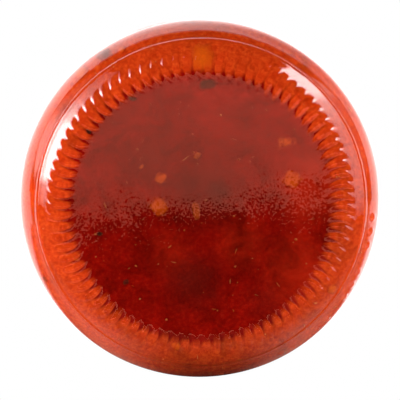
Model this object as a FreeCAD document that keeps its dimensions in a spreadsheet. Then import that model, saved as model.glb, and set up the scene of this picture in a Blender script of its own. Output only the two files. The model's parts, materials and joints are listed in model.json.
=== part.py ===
import FreeCAD, Part
import math
import os
import Sketcher

# A glass jar of pasta sauce with its twist cap, standing on its base.
# Millimetres. The axis is Z, and Z = 0 is the plane the jar rests on.

sizes = (
    ("body_width", 87.0),          # diameter over the contact bands
    ("glass_height", 160.0),       # resting plane to the rim
    ("wall", 2.2),                 # glass at the label panel
    ("panel_recess", 0.5),         # label panel below the contact bands
    ("recess_slope", 1.5),         # height of the slope between the two
    ("heel_round", 11.0),          # outer round from base to wall
    ("heel_band", 8.0),            # contact band above the heel
    ("shoulder_band", 7.0),        # contact band below the shoulder
    ("shoulder_round", 17.0),
    ("finish_width", 59.2),        # diameter of the finish between threads
    ("finish_wall", 2.1),
    ("neck_step", 0.6),            # neck wider than the finish, all round
    ("neck_round", 4.0),           # round from shoulder into neck
    ("throat_round", 6.7),         # the same round inside
    ("neck_height", 18.5),         # top of the shoulder round to the rim
    ("bead_rise", 1.2),            # neck below the transfer bead
    ("bead_height", 3.4),
    ("bead_proud", 1.2),
    ("rim_round", 0.8),
    ("pushup_height", 3.2),        # rise of the base at its centre
    ("bearing_round", 9.0),        # round from the push-up to the land
    ("bearing_land", 0.9),         # flat top of the bearing ring
    ("knurl_count", 82),           # crescents round the bearing ring
    ("knurl_proud", 0.35),         # their height, on which the jar rests
    ("knurl_inside", 0.6),         # reach from the land towards the axis
    ("knurl_outside", 4.3),        # reach from the land up the heel
    ("knurl_bow", 1.25),
    ("knurl_width", 0.9),
    ("seam_angle", 36.0),          # where the base mould meets the body mould
    ("seam_proud", 0.15),
    ("seam_round", 0.25),
    ("dot_start", 62.0),           # degrees from +X to the first round mark on the heel
    ("dot_pitch", 4.77),           # degrees from one mark to the next
    ("dot_lean", 54.0),            # how far up the heel's round they sit
    ("dot_round", 1.1),
    ("dot_proud", 0.36),
    ("floor_thick", 3.5),          # glass at the centre of the base
    ("bearing_thick", 3.9),        # glass above the bearing ring
    ("floor_round", 12.0),
    ("inner_heel_round", 9.3),
    ("fill_gap", 28.5),            # rim to the top of the sauce
    ("thread_proud", 1.4),         # thread ridge on the finish
    ("thread_height", 2.0),
    ("thread_fall", 2.4),          # drop of a thread from end to end
    ("thread_sweep", 80.0),        # degrees that a thread covers
    ("thread_root", 0.6),          # its root inside the glass
    ("cap_sheet", 0.3),            # tinplate
    ("cap_depth", 10.4),           # overall height of the cap
    ("cap_play", 0.9),             # skirt clear of the threads
    ("cap_corner", 1.6),
    ("cap_panel_drop", 0.8),       # centre panel below the outer ring
    ("cap_panel_slope", 1.0),
    ("cap_panel_inset", 2.0),      # centre panel clear of the bore
    ("button_width", 21.0),        # vacuum button
    ("button_dip", 0.4),
    ("curl_round", 0.8),           # rolled lower edge
    ("lug_count", 4),              # lugs on the cap, one for each thread
    ("lug_sweep", 18.0),           # degrees that a lug covers
    ("lug_play", 0.35),            # lug clear of the finish
    ("lug_height", 1.2),
    ("lug_seat", 0.05),            # lug clear of the thread above it
    ("lug_travel", 12.0),          # degrees from the thread's low end to the lug
    ("liner_thick", 0.6),          # sealing ring between rim and cap
    ("liner_spread", 0.5),         # its reach past the rim, inside and outside
)

# Last place and number of marks in each group on the heel.
dot_groups = ((1, 2), (4, 2), (8, 3), (12, 3))

doc = FreeCAD.newDocument("PastaSauceJar")
sheet = doc.addObject("Spreadsheet::Sheet", "Sizes")
for row, (alias, value) in enumerate(sizes, start=1):
    sheet.set(f"A{row}", alias)
    sheet.set(f"B{row}", str(value))
    sheet.setAlias(f"B{row}", alias)
doc.recompute()


def cell(alias):
    return f"Sizes.{alias}"


# Radii and heights that several pieces share, as expressions on the sheet.
body_r = f"({cell('body_width')} / 2)"
panel_r = f"({body_r} - {cell('panel_recess')})"
inner_r = f"({panel_r} - {cell('wall')})"
finish_r = f"({cell('finish_width')} / 2)"
bore_r = f"({finish_r} - {cell('finish_wall')})"
neck_r = f"({finish_r} + {cell('neck_step')})"
rim_z = cell("glass_height")
neck_z = f"({rim_z} - {cell('neck_height')})"
bead_z = f"({neck_z} + {cell('bead_rise')})"
finish_z = f"({bead_z} + {cell('bead_height')})"
land_z = cell("knurl_proud")
land_r = f"({body_r} - {cell('heel_round')})"
heel_z = f"({land_z} + {cell('heel_round')})"
crest_r = f"({land_r} - {cell('bearing_land')})"
wall_gap = f"({body_r} - {inner_r})"
inner_shoulder = f"({cell('shoulder_round')} - {wall_gap})"
fill_z = f"({rim_z} - {cell('fill_gap')})"
thread_r = f"({finish_r} + {cell('thread_proud')})"
thread_pitch = f"({cell('thread_fall')} * 360 / {cell('thread_sweep')})"
cap_top = f"({rim_z} + {cell('liner_thick')} + {cell('cap_sheet')})"
cap_r = f"({thread_r} + {cell('cap_play')} + {cell('cap_sheet')})"
cap_foot = f"({cap_top} - {cell('cap_depth')})"
curl_z = f"({cap_foot} + {cell('curl_round')})"
curl_r = f"({cap_r} - {cell('cap_sheet')} / 2)"
lug_z = f"({cap_foot} + {cell('lug_height')})"

# How an edge of an outline runs: straight, or bent to the left or right of its chord.
straight = None
left = 1
right = -1
past = 1.0      # how far a cut runs beyond what it cuts
on_axis = 1e-9  # what counts as zero in a sketch


def arc(radius, side):
    return (radius, side)


def chord_radius(half_chord, bulge):
    return f"(({half_chord} * {half_chord} + {bulge} * {bulge}) / (2 * {bulge}))"


def raised_floor(ring_radius, ring_height, rise, ring_round):
    """Corners from the axis to the low ring: a shallow dome, then the round it blends into."""
    reach = chord_radius(ring_radius, rise)
    dome = f"({reach} - {ring_round})"
    blend_r = f"({ring_radius} * {dome} / {reach})"
    blend_z = f"({ring_height} + {ring_round} * (1 - sqrt(1 - pow({ring_radius} / {reach}; 2))))"
    return [
        ("0", f"({ring_height} + {rise})", arc(dome, left)),
        (blend_r, blend_z, arc(ring_round, right)),
    ]


def shoulder(wall_radius, top_radius, shoulder_round, neck_round):
    """Foot of the shoulder and the corners of its two tangent rounds up to the neck."""
    centre_r = f"({wall_radius} - {shoulder_round})"
    reach = f"({shoulder_round} + {neck_round})"
    across = f"({top_radius} + {neck_round} - {centre_r})"
    climb = f"sqrt({reach} * {reach} - {across} * {across})"
    foot_z = f"({neck_z} - {climb})"
    share = f"({shoulder_round} / {reach})"
    return foot_z, [
        (wall_radius, foot_z, arc(shoulder_round, right)),
        (f"({centre_r} + {share} * {across})", f"({foot_z} + {share} * {climb})", arc(neck_round, left)),
        (top_radius, neck_z, straight),
    ]


def origin_plane(body, role):
    return next(feature for feature in body.Origin.OriginFeatures if feature.Role == role)


def bend_middle(start, end, radius, side):
    """Point half way along the minor arc, on the left or right of the chord."""
    chord = end - start
    half = chord.Length / 2
    bulge = radius - math.sqrt(max(radius * radius - half * half, 0.0))
    across = FreeCAD.Vector(-chord.y, chord.x, 0).normalize()
    return (start + end) / 2 + across * bulge * side


def bind(sketch, kind, references, expression):
    value = float(sketch.evalExpression(expression))
    index = sketch.addConstraint(Sketcher.Constraint(kind, *references, value))
    sketch.setExpression(f"Constraints[{index}]", expression)


def hold_point(sketch, edge, end, across, up):
    """Tie one end of an edge to the sheet, or to an axis where its value is zero."""
    if abs(float(sketch.evalExpression(across))) < on_axis:
        sketch.addConstraint(Sketcher.Constraint("PointOnObject", edge, end, -2))
    else:
        bind(sketch, "DistanceX", (-1, 1, edge, end), across)
    if abs(float(sketch.evalExpression(up))) < on_axis:
        sketch.addConstraint(Sketcher.Constraint("PointOnObject", edge, end, -1))
    else:
        bind(sketch, "DistanceY", (-1, 1, edge, end), up)


def new_sketch(body, name, role):
    sketch = body.newObject("Sketcher::SketchObject", name)
    sketch.AttachmentSupport = (origin_plane(body, role), [""])
    sketch.MapMode = "FlatFace"
    return sketch


def end_gap(sketch, edge, end, point):
    return (sketch.getPoint(edge, end) - point).Length


def draw_outline(body, name, corners, role="XZ_Plane"):
    """Closed outline: each corner is (across, up, how the edge after it runs)."""
    sketch = new_sketch(body, name, role)
    points = [
        FreeCAD.Vector(*(float(sketch.evalExpression(text)) for text in corner[:2]), 0)
        for corner in corners
    ]
    for index, corner in enumerate(corners):
        start = points[index]
        end = points[(index + 1) % len(points)]
        if corner[2] is straight:
            sketch.addGeometry(Part.LineSegment(start, end), False)
            continue
        radius, side = corner[2]
        middle = bend_middle(start, end, float(sketch.evalExpression(radius)), side)
        sketch.addGeometry(Part.Arc(start, middle, end), False)
    ends = []
    for index in range(len(points)):
        runs_forward = end_gap(sketch, index, 1, points[index]) < end_gap(sketch, index, 2, points[index])
        ends.append((1, 2) if runs_forward else (2, 1))
    for index, corner in enumerate(corners):
        after = (index + 1) % len(corners)
        sketch.addConstraint(
            Sketcher.Constraint("Coincident", index, ends[index][1], after, ends[after][0])
        )
        hold_point(sketch, index, ends[index][0], corner[0], corner[1])
        if corner[2] is not straight:
            bind(sketch, "Radius", (index,), corner[2][0])
    return sketch


def turn(body, name, kind, sketch, angle=360.0, symmetric=False):
    feature = body.newObject(f"PartDesign::{kind}", name)
    feature.Profile = sketch
    feature.ReferenceAxis = (sketch, ["V_Axis"])
    feature.Angle = angle
    feature.Midplane = symmetric
    return feature


def new_body(label):
    body = doc.addObject("PartDesign::Body", label)
    body.Label = label
    body.Placement = FreeCAD.Placement()
    return body


def cavity_corners():
    """Inside of the jar, from the floor to the foot of the neck."""
    floor_rise = f"({cell('pushup_height')} + {cell('floor_thick')} - {cell('bearing_thick')})"
    floor_z = f"({land_z} + {cell('bearing_thick')})"
    ring_r = f"({inner_r} - {cell('inner_heel_round')})"
    heel_top = f"({floor_z} + {cell('inner_heel_round')})"
    shoulder_corners = shoulder(inner_r, bore_r, inner_shoulder, cell("throat_round"))[1]
    corners = raised_floor(ring_r, floor_z, floor_rise, cell("floor_round"))
    corners.append((ring_r, floor_z, arc(cell("inner_heel_round"), right)))
    corners.append((inner_r, heel_top, straight))
    corners += shoulder_corners
    return corners


def build_glass():
    body = new_body("glass_jar")
    foot_z, shoulder_corners = shoulder(body_r, neck_r, cell("shoulder_round"), cell("neck_round"))
    band_z = f"({heel_z} + {cell('heel_band')})"
    panel_foot = f"({band_z} + {cell('recess_slope')})"
    upper_band = f"({foot_z} - {cell('shoulder_band')})"
    panel_head = f"({upper_band} - {cell('recess_slope')})"
    bead_run = f"({neck_r} - {finish_r})"
    bead_half = f"(sqrt({cell('bead_height')} * {cell('bead_height')} + {bead_run} * {bead_run}) / 2)"
    corners = raised_floor(crest_r, land_z, cell("pushup_height"), cell("bearing_round"))
    corners.append((crest_r, land_z, straight))
    corners.append((land_r, land_z, arc(cell("heel_round"), right)))
    corners.append((body_r, heel_z, straight))
    corners.append((body_r, band_z, straight))
    corners.append((panel_r, panel_foot, straight))
    corners.append((panel_r, panel_head, straight))
    corners.append((body_r, upper_band, straight))
    corners += shoulder_corners
    corners.append((neck_r, bead_z, arc(chord_radius(bead_half, cell("bead_proud")), right)))
    corners.append((finish_r, finish_z, straight))
    corners.append((finish_r, f"({rim_z} - {cell('rim_round')})", arc(cell("rim_round"), right)))
    corners.append((f"({finish_r} - {cell('rim_round')})", rim_z, straight))
    corners.append(("0", rim_z, straight))
    turn(body, "GlassOutside", "Revolution", draw_outline(body, "GlassOutline", corners))
    doc.recompute()
    solid = body.Shape.Volume
    inside = cavity_corners()
    inside.append((bore_r, f"({rim_z} - {cell('rim_round')})", arc(cell("rim_round"), left)))
    inside.append((f"({bore_r} + {cell('rim_round')})", rim_z, straight))
    inside.append(("0", rim_z, straight))
    turn(body, "GlassInside", "Groove", draw_outline(body, "CavityOutline", inside))
    doc.recompute()
    if body.Shape.Volume >= solid:
        raise RuntimeError("The cavity was not cut")
    add_heel_seam(body)
    add_heel_dots(body)
    add_threads(body)
    add_knurls(body)
    return body


def draw_circle(body, name, across, up, radius):
    sketch = new_sketch(body, name, "XZ_Plane")
    middle = FreeCAD.Vector(float(sketch.evalExpression(across)), float(sketch.evalExpression(up)), 0)
    circle = Part.Circle(middle, FreeCAD.Vector(0, 0, 1), float(sketch.evalExpression(radius)))
    sketch.addGeometry(circle, False)
    hold_point(sketch, 0, 3, across, up)
    bind(sketch, "Radius", (0,), radius)
    return sketch


def repeat_round(body, name, feature, count):
    """Copies of a feature, evenly spaced round the axis."""
    pattern = body.newObject("PartDesign::PolarPattern", name)
    pattern.Originals = [feature]
    pattern.Axis = (origin_plane(body, "Z_Axis"), [""])
    pattern.Angle = 360
    pattern.setExpression("Occurrences", count)
    body.Tip = pattern
    doc.recompute()
    return pattern


def add_heel_seam(body):
    """Fine ridge where the base mould meets the body mould."""
    lean = f"({cell('seam_angle')} * 1 deg)"
    depth = f"({cell('heel_round')} + {cell('seam_proud')} - {cell('seam_round')})"
    across = f"({land_r} + {depth} * sin({lean}))"
    up = f"({heel_z} - {depth} * cos({lean}))"
    turn(body, "HeelSeam", "Revolution", draw_circle(body, "SeamOutline", across, up, cell("seam_round")))
    doc.recompute()


def add_heel_dots(body):
    """Groups of small round marks low on the heel, with gaps between the groups."""
    lean = f"({cell('dot_lean')} * 1 deg)"
    depth = f"({cell('heel_round')} + {cell('dot_proud')} - {cell('dot_round')})"
    across = f"({land_r} + {depth} * sin({lean}))"
    for number, (last, count) in enumerate(dot_groups, start=1):
        away = f"(({cell('dot_start')} - {last} * {cell('dot_pitch')}) * 1 deg)"
        dot = body.newObject("PartDesign::AdditiveSphere", f"HeelDot{number}")
        dot.setExpression("Radius", cell("dot_round"))
        dot.setExpression("Placement.Base.x", f"{across} * cos({away})")
        dot.setExpression("Placement.Base.y", f"{across} * sin({away})")
        dot.setExpression("Placement.Base.z", f"{heel_z} - {depth} * cos({lean})")
        body.Tip = dot
        doc.recompute()
        pattern = body.newObject("PartDesign::PolarPattern", f"HeelDots{number}")
        pattern.Originals = [dot]
        pattern.Axis = (origin_plane(body, "Z_Axis"), [""])
        pattern.setExpression("Angle", f"({count} - 1) * {cell('dot_pitch')} * 1 deg")
        pattern.Occurrences = count
        body.Tip = pattern
        doc.recompute()


def add_threads(body):
    """Slanted ridges that the cap's lugs pull down on, one for each lug."""
    climb = f"({cell('thread_fall')} * {cell('lug_travel')} / {cell('thread_sweep')})"
    underside = f"({lug_z} + {cell('lug_seat')} - {climb})"
    root_r = f"({finish_r} - {cell('thread_root')})"
    nose = f"({cell('thread_height')} / 4)"
    nose_r = f"({thread_r} - {nose})"
    top = f"({underside} + {cell('thread_height')})"
    corners = [
        (root_r, underside, straight),
        (nose_r, underside, arc(nose, right)),
        (thread_r, f"({underside} + {nose})", straight),
        (thread_r, f"({top} - {nose})", arc(nose, right)),
        (nose_r, top, straight),
        (root_r, top, straight),
    ]
    profile = draw_outline(body, "ThreadOutline", corners)
    thread = body.newObject("PartDesign::AdditiveHelix", "Thread")
    thread.Profile = profile
    thread.ReferenceAxis = (profile, ["V_Axis"])
    thread.Mode = "height-turns-angle"
    thread.setExpression("Height", cell("thread_fall"))
    thread.setExpression("Turns", f"{cell('thread_sweep')} / 360")
    thread.LeftHanded = False
    doc.recompute()
    repeat_round(body, "Threads", thread, cell("lug_count"))


def add_knurls(body):
    """Bowed ridges across the bearing ring, cut back to follow its round."""
    before = body.Shape.Volume
    inside_r = f"({crest_r} - {cell('knurl_inside')})"
    outside_r = f"({land_r} + {cell('knurl_outside')})"
    half = f"(({outside_r} - {inside_r}) / 2)"
    outer_bow = f"({cell('knurl_bow')} + {cell('knurl_width')} / 2)"
    inner_bow = f"({cell('knurl_bow')} - {cell('knurl_width')} / 2)"
    crescent = [
        (inside_r, "0", arc(chord_radius(half, outer_bow), right)),
        (outside_r, "0", arc(chord_radius(half, inner_bow), left)),
    ]
    ridge = body.newObject("PartDesign::Pad", "Knurl")
    ridge.Profile = draw_outline(body, "KnurlOutline", crescent, "XY_Plane")
    ridge.setExpression("Length", f"{land_z} + {cell('bearing_thick')} / 2")
    doc.recompute()
    repeat_round(body, "Knurls", ridge, cell("knurl_count"))
    # What stands further out than the ridges' height goes, so that they follow the rounds.
    reach = f"({outside_r} + {past})"
    side = f"({cell('heel_round')} + {cell('knurl_proud')})"
    side_run = f"({reach} - {land_r})"
    side_z = f"({heel_z} - sqrt({side} * {side} - {side_run} * {side_run}))"
    near = f"({inside_r} - {past})"
    inward = f"({cell('bearing_round')} + {cell('knurl_proud')})"
    inward_run = f"({crest_r} - {near})"
    inward_drop = f"sqrt({inward} * {inward} - {inward_run} * {inward_run})"
    inward_z = f"({land_z} + {cell('bearing_round')} - {inward_drop})"
    below = f"(-{past})"
    trim = [
        (near, inward_z, arc(inward, right)),
        (crest_r, "0", straight),
        (land_r, "0", arc(side, right)),
        (reach, side_z, straight),
        (reach, below, straight),
        (near, below, straight),
    ]
    padded = body.Shape.Volume
    turn(body, "KnurlRound", "Groove", draw_outline(body, "KnurlTrim", trim))
    doc.recompute()
    if not before < body.Shape.Volume < padded:
        raise RuntimeError("The knurls were not cut to the round")


def build_sauce():
    body = new_body("sauce")
    corners = cavity_corners()
    corners.append((bore_r, rim_z, straight))
    corners.append(("0", rim_z, straight))
    turn(body, "SauceFull", "Revolution", draw_outline(body, "SauceOutline", corners))
    doc.recompute()
    full = body.Shape.Volume
    above = [
        ("0", fill_z, straight),
        (body_r, fill_z, straight),
        (body_r, f"({rim_z} + {past})", straight),
        ("0", f"({rim_z} + {past})", straight),
    ]
    turn(body, "SauceLevel", "Groove", draw_outline(body, "Headspace", above))
    doc.recompute()
    if body.Shape.Volume >= full:
        raise RuntimeError("The sauce was not levelled")
    return body


def cap_corners(inset, lower_edge):
    """Cap outline, or the same outline drawn in by the sheet."""
    top = f"({cap_top} - {inset})"
    panel_z = f"({top} - {cell('cap_panel_drop')})"
    panel_out = f"({bore_r} - {cell('cap_panel_inset')})"
    button_half = f"({cell('button_width')} / 2)"
    return [
        ("0", f"({panel_z} - {cell('button_dip')})",
         arc(chord_radius(button_half, cell("button_dip")), right)),
        (button_half, panel_z, straight),
        (f"({panel_out} - {cell('cap_panel_slope')})", panel_z, straight),
        (panel_out, top, straight),
        (f"({cap_r} - {cell('cap_corner')})", top, arc(f"({cell('cap_corner')} - {inset})", left)),
        (f"({cap_r} - {inset})", f"({cap_top} - {cell('cap_corner')})", straight),
        (f"({cap_r} - {inset})", lower_edge, straight),
        ("0", lower_edge, straight),
    ]


def build_cap():
    body = new_body("cap")
    turn(body, "CapOutside", "Revolution", draw_outline(body, "CapOutline", cap_corners("0", curl_z)))
    doc.recompute()
    solid = body.Shape.Volume
    below = f"({curl_z} - {past})"
    inside = cap_corners(cell("cap_sheet"), below)
    turn(body, "CapInside", "Groove", draw_outline(body, "CapHollow", inside))
    doc.recompute()
    if body.Shape.Volume >= solid:
        raise RuntimeError("The cap was not hollowed")
    curl = draw_circle(body, "CurlOutline", curl_r, curl_z, cell("curl_round"))
    turn(body, "CapCurl", "Revolution", curl)
    doc.recompute()
    add_lugs(body)
    # Turned on until each lug sits under its thread.
    body.Placement.Rotation = FreeCAD.Rotation(FreeCAD.Vector(0, 0, 1), 1)
    seated = f"({cell('lug_travel')} + {cell('lug_sweep')} / 2) * 1 deg"
    body.setExpression("Placement.Rotation.Angle", seated)
    doc.recompute()
    return body


def add_lugs(body):
    """Tabs folded in from the curl, which grip under the threads."""
    tip_r = f"({finish_r} + {cell('lug_play')})"
    nose = f"({cell('lug_height')} / 2)"
    nose_r = f"({tip_r} + {nose})"
    corners = [
        (curl_r, cap_foot, straight),
        (curl_r, lug_z, straight),
        (nose_r, lug_z, arc(nose, left)),
        (tip_r, f"({cap_foot} + {nose})", arc(nose, left)),
        (nose_r, cap_foot, straight),
    ]
    lug = turn(body, "Lug", "Revolution", draw_outline(body, "LugOutline", corners), symmetric=True)
    lug.setExpression("Angle", f"{cell('lug_sweep')} * 1 deg")
    doc.recompute()
    repeat_round(body, "Lugs", lug, cell("lug_count"))


def build_liner():
    body = new_body("liner")
    inner = f"({bore_r} - {cell('liner_spread')})"
    outer = f"({finish_r} + {cell('liner_spread')})"
    top = f"({rim_z} + {cell('liner_thick')})"
    corners = [
        (inner, rim_z, straight),
        (outer, rim_z, straight),
        (outer, top, straight),
        (inner, top, straight),
    ]
    turn(body, "LinerRing", "Revolution", draw_outline(body, "LinerOutline", corners))
    doc.recompute()
    return body


bodies = [build_glass(), build_sauce(), build_cap(), build_liner()]
doc.recompute()
for item in doc.Objects:
    if "Invalid" in item.State or "Error" in item.State:
        raise RuntimeError(f"{item.Label} failed: {item.State}")
for body in bodies:
    if body.Shape.isNull() or not body.Shape.isValid() or len(body.Shape.Solids) != 1:
        raise RuntimeError(f"{body.Label} is not one sound solid")
os.makedirs("parts", exist_ok=True)
for body in bodies:
    body.Shape.exportStep(f"parts/{body.Label}.step")
    box = body.Shape.BoundBox
    heights = round(box.ZMin, 3), round(box.ZMax, 3)
    print(body.Label, "volume", round(body.Shape.Volume), "from, to", heights)
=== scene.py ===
import bpy
import bmesh
import json
from math import asin, atan2, cos, degrees, hypot, pi, radians, sin, sqrt
from mathutils import Matrix, Vector
from random import choice, random, seed, uniform

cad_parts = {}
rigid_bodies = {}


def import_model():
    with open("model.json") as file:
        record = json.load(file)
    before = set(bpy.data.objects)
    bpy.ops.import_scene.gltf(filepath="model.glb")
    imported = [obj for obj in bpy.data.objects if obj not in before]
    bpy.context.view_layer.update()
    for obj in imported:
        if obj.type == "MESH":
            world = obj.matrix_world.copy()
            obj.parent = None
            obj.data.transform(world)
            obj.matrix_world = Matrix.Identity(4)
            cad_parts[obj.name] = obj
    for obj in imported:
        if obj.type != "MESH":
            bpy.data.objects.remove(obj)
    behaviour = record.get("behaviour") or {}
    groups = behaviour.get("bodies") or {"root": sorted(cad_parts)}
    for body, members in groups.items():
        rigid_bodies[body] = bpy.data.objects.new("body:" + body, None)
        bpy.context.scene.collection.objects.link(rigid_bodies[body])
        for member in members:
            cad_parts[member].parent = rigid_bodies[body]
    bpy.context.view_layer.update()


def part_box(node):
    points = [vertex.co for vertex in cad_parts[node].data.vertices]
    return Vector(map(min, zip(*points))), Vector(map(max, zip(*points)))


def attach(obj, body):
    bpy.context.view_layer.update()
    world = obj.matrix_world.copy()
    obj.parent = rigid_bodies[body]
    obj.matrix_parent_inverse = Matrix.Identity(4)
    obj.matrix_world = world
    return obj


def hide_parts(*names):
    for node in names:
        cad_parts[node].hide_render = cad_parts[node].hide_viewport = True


seed(24)
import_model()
mm = 0.001
print("frame loaded")

for name in ("Cube", "Light", "Camera"):
    if name in bpy.data.objects:
        bpy.data.objects.remove(bpy.data.objects[name])


def pickNothing():
    bpy.ops.object.select_all(action="DESELECT")


def pickOnly(*pieces):
    pickNothing()
    for piece in pieces:
        piece.select_set(True)
    bpy.context.view_layer.objects.active = pieces[0]


def coat(piece, *materials):
    piece.data.materials.clear()
    for material in materials:
        piece.data.materials.append(material)


def pickAll():
    bpy.ops.mesh.select_all(action="SELECT")


def startEdit():
    bpy.ops.object.mode_set(mode="EDIT")
    pickAll()


def endEdit():
    bpy.ops.object.mode_set(mode="OBJECT")


def addObject(name, data):
    added = bpy.data.objects.new(name, data)
    bpy.context.scene.collection.objects.link(added)
    return added


def feed(socket, value):
    # a socket takes what another node gives, or a plain value
    if isinstance(value, bpy.types.NodeSocket):
        socket.id_data.links.new(value, socket)
    else:
        socket.default_value = value


def addNode(tree, kind, **values):
    node = tree.nodes.new("ShaderNode" + kind)
    for key, value in values.items():
        setattr(node, key, value)
    return node


def setIn(node, **values):
    for key, value in values.items():
        feed(node.inputs[key.replace("_", " ")], value)
    return node


def newMaterial(name):
    material = bpy.data.materials.new(name)
    material.use_nodes = True
    material.node_tree.nodes.clear()
    return material, material.node_tree


def feedAll(node, values):
    for socket, value in zip(node.inputs, values):
        feed(socket, value)
    return node.outputs


def mathNode(tree, operation, *values):
    return feedAll(addNode(tree, "Math", operation=operation), values)[0]


def times(tree, first, second):
    return mathNode(tree, "MULTIPLY", first, second)


def timesPlus(tree, first, second, third):
    return mathNode(tree, "MULTIPLY_ADD", first, second, third)


def vectorNode(tree, operation, *values):
    outputs = feedAll(addNode(tree, "VectorMath", operation=operation), values)
    return outputs["Value" if operation in ("LENGTH", "DISTANCE") else "Vector"]


def mixShaders(tree, factor, first, second):
    return feedAll(addNode(tree, "MixShader"), (factor, first, second))[0]


def principled(tree, **values):
    return setIn(addNode(tree, "BsdfPrincipled"), **values).outputs[0]


def clearShader(tree, **values):
    return setIn(addNode(tree, "BsdfTransparent"), **values).outputs[0]


def glowShader(tree, **values):
    return setIn(addNode(tree, "Emission"), **values).outputs[0]


def rampNode(tree, source, stops):
    ramp = addNode(tree, "ValToRGB")
    elements = ramp.color_ramp.elements
    while len(elements) < len(stops):
        elements.new(0.5)
    for element, (place, shade) in zip(elements, stops):
        element.position = place
        element.color = (*(shade if isinstance(shade, tuple) else grey(shade)), 1.0)
    return feedAll(ramp, (source,))[0]


def mixColour(tree, factor, first, second, blend="MIX"):
    node = addNode(tree, "Mix", data_type="RGBA", blend_type=blend)
    for index, value in ((0, factor), (6, first), (7, second)):
        feed(node.inputs[index], (*value, 1.0) if isinstance(value, tuple) else value)
    return node.outputs[2]


def multiplied(tree, first, second, share=1.0):
    return mixColour(tree, share, first, second, "MULTIPLY")


def grey(level):
    return (level, level, level)


def showSurface(tree, shader):
    setIn(addNode(tree, "OutputMaterial"), Surface=shader)


def bumpNode(tree, height, depth, strength=1.0, below=None):
    # depth in millimetres
    bump = setIn(addNode(tree, "Bump"), Strength=strength, Distance=depth * mm, Height=height)
    if below:
        setIn(bump, Normal=below)
    return bump.outputs[0]


def coordinatesNode(tree, which, **values):
    place = addNode(tree, "TexCoord").outputs[which]
    return setIn(addNode(tree, "Mapping"), Vector=place, **values).outputs[0]


def splitNode(tree, which):
    place = addNode(tree, "TexCoord").outputs[which]
    return feedAll(addNode(tree, "SeparateXYZ"), (place,))


def reachNode(tree):
    # distance from the axis in millimetres, and the place in plan
    flat = coordinatesNode(tree, "Object", Scale=(1 / mm, 1 / mm, 0))
    return vectorNode(tree, "LENGTH", flat), flat


def between(tree, source, low, high, fall=False):
    # rises softly from 0 to 1 between two values, or falls from 1 to 0
    node = addNode(tree, "MapRange", interpolation_type="SMOOTHSTEP")
    setIn(node, Value=source, From_Min=low, From_Max=high, To_Min=float(fall), To_Max=float(not fall))
    return node.outputs[0]


def noiseNode(tree, perMillimetre, detail, turned=(0, 0, 0), output="Fac", **values):
    # noise in object coordinates, so that its scale is in millimetres
    space = coordinatesNode(tree, "Object", Scale=(perMillimetre / mm,) * 3, Rotation=turned)
    values = {"Scale": 1.0, "Roughness": 0.55, **values}
    return setIn(addNode(tree, "TexNoise"), Vector=space, Detail=detail, **values).outputs[output]


def strayNode(tree, perMillimetre, detail):
    # a short vector that points every way in turn over the surface
    noise = noiseNode(tree, perMillimetre, detail, output="Color", Roughness=0.5)
    return vectorNode(tree, "SUBTRACT", noise, (0.5, 0.5, 0.5))


# sizes of the jar, in millimetres, as the solids have them
jar = {
    "bodyR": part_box("glass_jar")[1].x / mm,
    "rimZ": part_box("glass_jar")[1].z / mm,
    "wall": 2.2,
    "panelRecess": 0.5,
    "recessSlope": 1.5,
    "landZ": 0.35,
    "heelRound": 11.0,
    "heelBand": 8.0,
    "shoulderBand": 7.0,
    "shoulderRound": 17.0,
    "finishR": 29.6,
    "finishWall": 2.1,
    "neckStep": 0.6,
    "neckRound": 4.0,
    "throatRound": 6.7,
    "neckHeight": 18.5,
    "beadRise": 1.2,
    "beadHeight": 3.4,
    "beadProud": 1.2,
    "rimRound": 0.8,
    "pushupHeight": 3.2,
    "domeEdge": 28.9,  # the plain middle of the raised floor ends here
    "bearingRound": 9.0,
    "landWidth": 0.9,
    "floorThick": 3.5,
    "bearingThick": 3.9,
    "floorRound": 12.0,
    "innerHeelRound": 9.3,
    "baseTop": 14.0,  # the finely divided base ends here
    "fineSteps": 820,  # ten steps for each knurl
    "wallSteps": 205,
}
jar["innerR"] = jar["bodyR"] - jar["panelRecess"] - jar["wall"]
jar["landR"] = jar["bodyR"] - jar["heelRound"]
jar["crestR"] = jar["landR"] - jar["landWidth"]
jar["heelZ"] = jar["landZ"] + jar["heelRound"]
jar["neckZ"] = jar["rimZ"] - jar["neckHeight"]
jar["neckR"] = jar["finishR"] + jar["neckStep"]
jar["boreR"] = jar["finishR"] - jar["finishWall"]
jar["floorZ"] = jar["landZ"] + jar["bearingThick"]
jar["fillZ"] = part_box("sauce")[1].z / mm
jar["innerRingR"] = jar["innerR"] - jar["innerHeelRound"]
jar["innerShoulder"] = jar["shoulderRound"] - jar["bodyR"] + jar["innerR"]
jar["innerRise"] = jar["pushupHeight"] + jar["floorThick"] - jar["bearingThick"]

knurl = {
    "count": 82,
    "fromR": 29.4,
    "toR": 37.0,
    "proud": 0.24,
    "bow": 1.25,
    "crest": 0.54,  # where in a pitch the ridge stands highest
    "gentle": 0.48,  # run of its gentle flank, as a share of the pitch
    "steep": 0.25,
    "innerFade": 2.6,  # how far from each end it reaches its full height
    "outerFade": 2.4,
    "uneven": 0.22,  # how much one ridge differs from the next
}
knurl["heights"] = [1 - knurl["uneven"] * random() for i in range(knurl["count"])]

seam = {"r": 38.95, "proud": 0.2, "half": 0.34}

heelDots = {
    "first": -298.0,  # degrees from +X, seen from above
    "pitch": -4.77,
    "marks": (1, 1, 0, 1, 1, 0, 1, 1, 1, 0, 1, 1, 1),
    "r": 41.4,
    "size": 1.8,
    "proud": 0.36,
    "edge": (1.25, 0.75),  # where a mark has ended, and over how much it rises, in its own radius
}

thread = {
    "count": 4,
    "lowZ": 151.39,
    "height": 2.0,
    "fall": 2.4,
    "sweep": 80.0,
    "proud": 1.4,
    "edge": (1.15, 0.5),
    "endRun": 6.0,  # degrees in which it fades out at each end
}


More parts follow.
